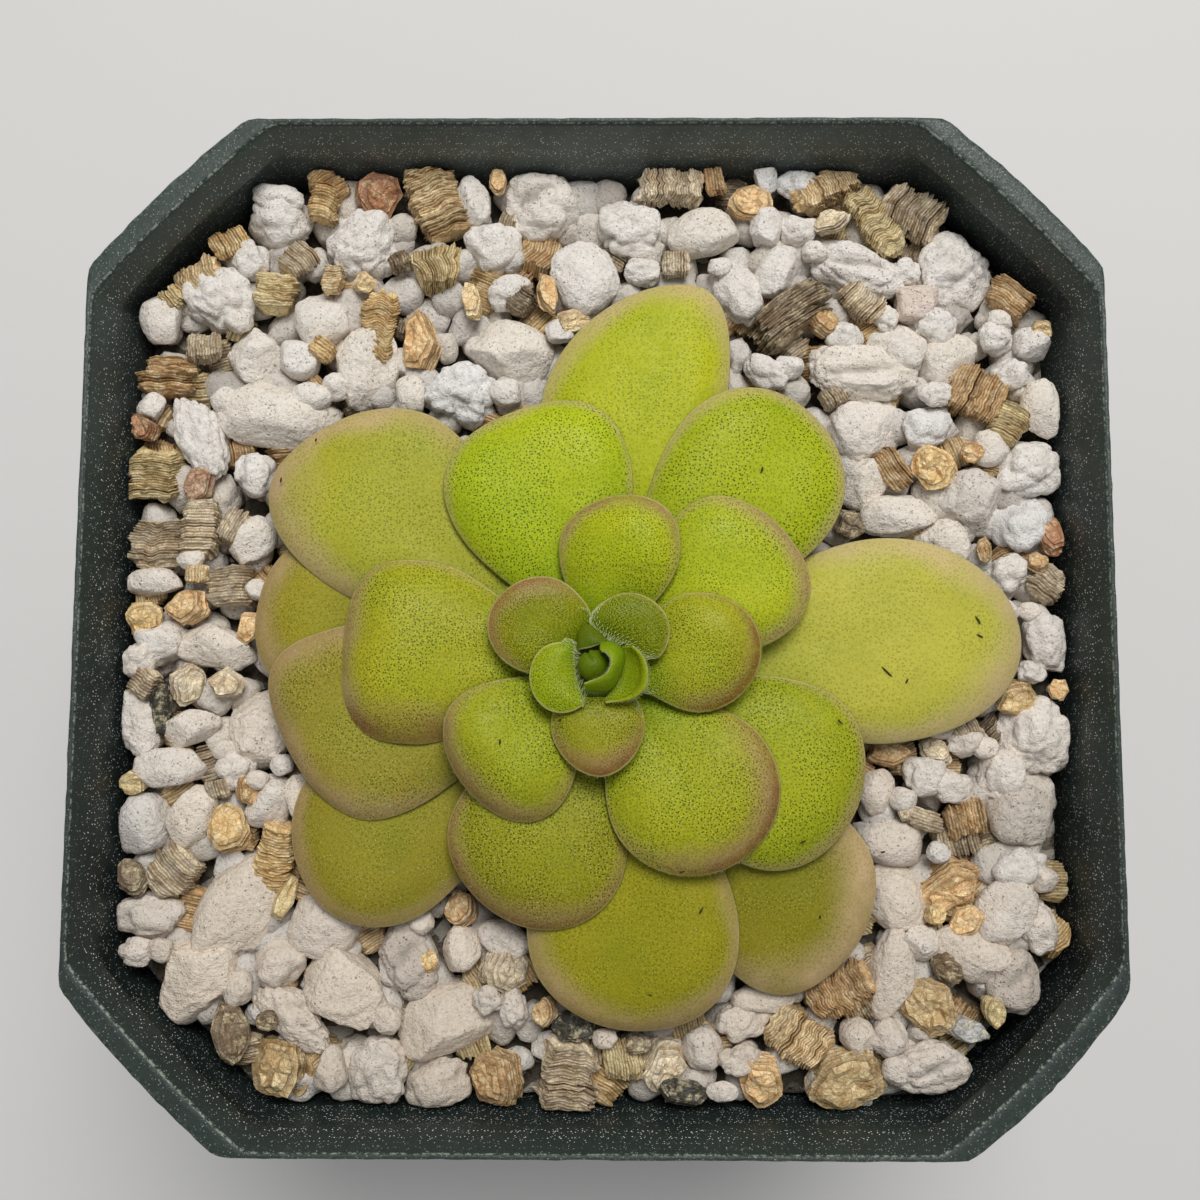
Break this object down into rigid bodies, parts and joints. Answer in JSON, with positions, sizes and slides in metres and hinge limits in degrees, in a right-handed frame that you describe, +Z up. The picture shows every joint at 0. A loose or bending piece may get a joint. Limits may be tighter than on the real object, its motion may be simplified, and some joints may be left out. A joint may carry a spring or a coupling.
{
  "type": "potted butterwort",
  "caption": "Butterwort rosette of broad yellow-green leaves on a short stem, in a square chamfered plastic pot of perlite and vermiculite.",
  "frame": {"origin": "middle of the pot's underside, on the surface it stands on", "axes": "+Z up out of the pot; X and Y square to the pot's four flat sides, +Y towards the top of the picture"},
  "size_m": [0.0762, 0.0762, 0.0772],
  "materials": {
    "pot_plastic": "dark green-black moulded plastic, satin, dusted",
    "potting_mix": "mixed mineral grains, dry",
    "perlite": "chalky white, pitted",
    "vermiculite": "layered mica, golden brown to grey, soft metallic sheen",
    "leaf": "fleshy, yellow-green with pink-brown margin, dotted with glistening glands",
    "young_leaf": "fleshy, dark green, fine glands",
    "stem": "matt"
  },
  "bodies": {
    "root": {"bud_leaf_1": "young_leaf", "bud_leaf_2": "young_leaf", "bud_leaf_3": "young_leaf", "bud_leaf_4": "young_leaf", "leaf_01": "leaf", "leaf_02": "leaf", "leaf_03": "leaf", "leaf_04": "leaf", "leaf_05": "leaf", "leaf_06": "leaf", "leaf_07": "leaf", "leaf_08": "leaf", "leaf_09": "leaf", "leaf_10": "leaf", "leaf_11": "leaf", "leaf_12": "leaf", "leaf_13": "leaf", "leaf_14": "leaf", "leaf_15": "leaf", "leaf_16": "leaf", "leaf_17": "leaf", "leaf_18": "leaf", "leaf_19": "young_leaf", "leaf_20": "young_leaf", "leaf_21": "young_leaf", "leaf_22": "young_leaf", "perlite_01": "perlite", "perlite_02": "perlite", "perlite_03": "perlite", "perlite_04": "perlite", "perlite_05": "perlite", "perlite_06": "perlite", "perlite_07": "perlite", "perlite_08": "perlite", "perlite_09": "perlite", "perlite_10": "perlite", "perlite_11": "perlite", "perlite_12": "perlite", "perlite_13": "perlite", "perlite_14": "perlite", "perlite_15": "perlite", "perlite_16": "perlite", "pot": "pot_plastic", "stem": "stem", "substrate": "potting_mix", "vermiculite_01": "vermiculite", "vermiculite_02": "vermiculite", "vermiculite_03": "vermiculite", "vermiculite_04": "vermiculite", "vermiculite_05": "vermiculite", "vermiculite_06": "vermiculite", "vermiculite_07": "vermiculite", "vermiculite_08": "vermiculite", "vermiculite_09": "vermiculite", "vermiculite_10": "vermiculite"}
  },
  "joints": []
}
